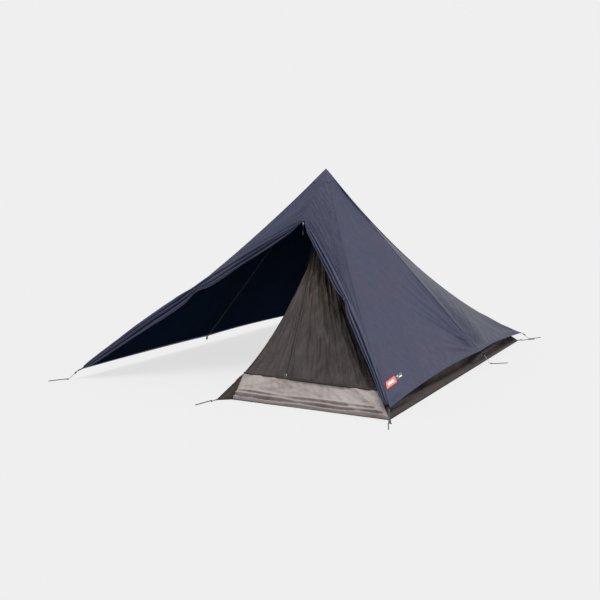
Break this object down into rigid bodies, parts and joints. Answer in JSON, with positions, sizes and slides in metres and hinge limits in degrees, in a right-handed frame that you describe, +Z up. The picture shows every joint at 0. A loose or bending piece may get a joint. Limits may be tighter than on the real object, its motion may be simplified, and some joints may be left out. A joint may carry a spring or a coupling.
{
  "type": "pyramid tent",
  "caption": "Single-pole pyramid tent: a dark fly with its front doors rolled open over a telescopic centre pole, and a half-width mesh inner tent with a bathtub floor.",
  "frame": {"origin": "middle of the underside of the centre pole's foot, on the ground", "axes": "+Z up along the pole; +Y from the open front to the back, the tent's longest side; +X to the right as seen from the open front, the side that the inner tent fills"},
  "size_m": [2.3413, 3.0854, 1.3],
  "materials": {
    "fly_cloth": "coated ripstop, soft sheen",
    "inner_mesh": "open knitted mesh",
    "sill_cloth": "light coated cloth",
    "tub_cloth": "dark coated cloth",
    "black_webbing": "woven tape",
    "cord": "braided cord",
    "black_plastic": "moulded, fine grain",
    "pole_alloy": "anodised",
    "foot_rubber": "moulded rubber",
    "peg_steel": "drawn wire",
    "zip_metal": "painted zinc",
    "patch_red": "woven patch",
    "patch_black": "woven patch"
  },
  "bodies": {
    "root": {"fly_right_front_panel": "fly_cloth", "fly_right_rear_panel": "fly_cloth", "fly_rear_panel": "fly_cloth", "fly_left_rear_panel": "fly_cloth", "fly_left_front_panel": "fly_cloth", "fly_front_right_panel": "fly_cloth", "fly_front_left_panel": "fly_cloth", "peak_cap": "fly_cloth", "right_door_roll": "fly_cloth", "left_door_roll": "fly_cloth", "right_toggle_loop": "black_webbing", "left_toggle_loop": "black_webbing", "groundsheet": "tub_cloth", "tub_front_wall": "sill_cloth", "tub_right_wall": "tub_cloth", "tub_rear_wall": "tub_cloth", "tub_left_wall": "tub_cloth", "tub_corner_gusset": "tub_cloth", "mesh_front_panel": "inner_mesh", "mesh_right_wall": "inner_mesh", "mesh_rear_wall": "inner_mesh", "mesh_left_wall": "inner_mesh", "mesh_door": "inner_mesh", "inner_apex_patch": "tub_cloth", "inner_zip_coil": "black_webbing", "inner_zip_stop": "zip_metal", "pole_foot": "foot_rubber", "pole_lower_tube": "pole_alloy", "pole_clamp": "black_plastic", "lever_pin": "peg_steel", "inner_hang_strap": "black_webbing", "inner_hook": "black_plastic", "guyline_front_left": "cord", "guyline_right": "cord", "guyline_rear_right": "cord", "guyline_rear_left": "cord", "ground_pegs": "peg_steel", "webbing_loops": "black_webbing", "side_patch_red": "patch_red", "side_patch_black": "patch_black"},
    "upper_pole": {"pole_upper_tube": "pole_alloy", "pole_guide_bush": "black_plastic", "pole_tip": "black_plastic"},
    "lock_lever": {"lock_lever": "black_plastic"},
    "door_zip_head": {"door_zip_slider": "zip_metal"},
    "door_pull": {"door_zip_pull": "zip_metal"},
    "right_toggle": {"right_toggle": "black_plastic"},
    "left_toggle": {"left_toggle": "black_plastic"},
    "inner_zip_slider": {"inner_zip_slider": "zip_metal"},
    "inner_zip_pull": {"inner_zip_pull": "zip_metal"},
    "line_lock_front_left": {"line_lock_front_left": "black_plastic"},
    "line_lock_right": {"line_lock_right": "black_plastic"},
    "line_lock_rear_right": {"line_lock_rear_right": "black_plastic"},
    "line_lock_rear_left": {"line_lock_rear_left": "black_plastic"}
  },
  "joints": [
    {"name": "pole_slide", "type": "slide", "parent": "root", "child": "upper_pole", "axis": [0, 0, 1], "range_m": [-0.5, 0]},
    {"name": "lever_hinge", "type": "hinge", "parent": "root", "child": "lock_lever", "pos_m": [-0.02, 0, 0.72], "axis": [0, 0, 1], "range_deg": [0, 100]},
    {"name": "door_zip_drop", "type": "slide", "parent": "root", "child": "door_zip_head", "axis": [0, 0, 1], "range_m": [-0.3624, 0]},
    {"name": "door_pull_swing", "type": "hinge", "parent": "door_zip_head", "child": "door_pull", "pos_m": [0.02, -0.3696, 0.937], "axis": [1, 0, 0], "range_deg": [-70, 15]},
    {"name": "right_toggle_turn", "type": "hinge", "parent": "root", "child": "right_toggle", "pos_m": [0.5402, -0.84407, 0.52655], "axis": [0, -0.722, 0.6919], "range_deg": [0, 90]},
    {"name": "left_toggle_turn", "type": "hinge", "parent": "root", "child": "left_toggle", "pos_m": [-0.5162, -0.85121, 0.52413], "axis": [0, -0.722, 0.6919], "range_deg": [0, 90]},
    {"name": "inner_zip_run", "type": "slide", "parent": "root", "child": "inner_zip_slider", "axis": [-0.2769, 0.814, 0.5106], "range_m": [0, 1.05]},
    {"name": "inner_pull_lift", "type": "hinge", "parent": "inner_zip_slider", "child": "inner_zip_pull", "pos_m": [0.37771, -1.24518, 0.14671], "axis": [-0.9609, -0.2346, -0.1471], "range_deg": [0, 90]},
    {"name": "lock_front_left_run", "type": "slide", "parent": "root", "child": "line_lock_front_left", "axis": [-0.3876, -0.6833, -0.6188], "range_m": [0, 0.03]},
    {"name": "lock_right_run", "type": "slide", "parent": "root", "child": "line_lock_right", "axis": [0.4226, 0.4372, -0.7939], "range_m": [0, 0.03]},
    {"name": "lock_rear_right_run", "type": "slide", "parent": "root", "child": "line_lock_rear_right", "axis": [0.4568, 0.6654, -0.5904], "range_m": [0, 0.03]},
    {"name": "lock_rear_left_run", "type": "slide", "parent": "root", "child": "line_lock_rear_left", "axis": [-0.5142, 0.657, -0.5514], "range_m": [0, 0.03]}
  ],
  "couplings": [
    {"joint": "door_zip_drop", "follows": "pole_slide", "ratio": 0.7149}
  ]
}
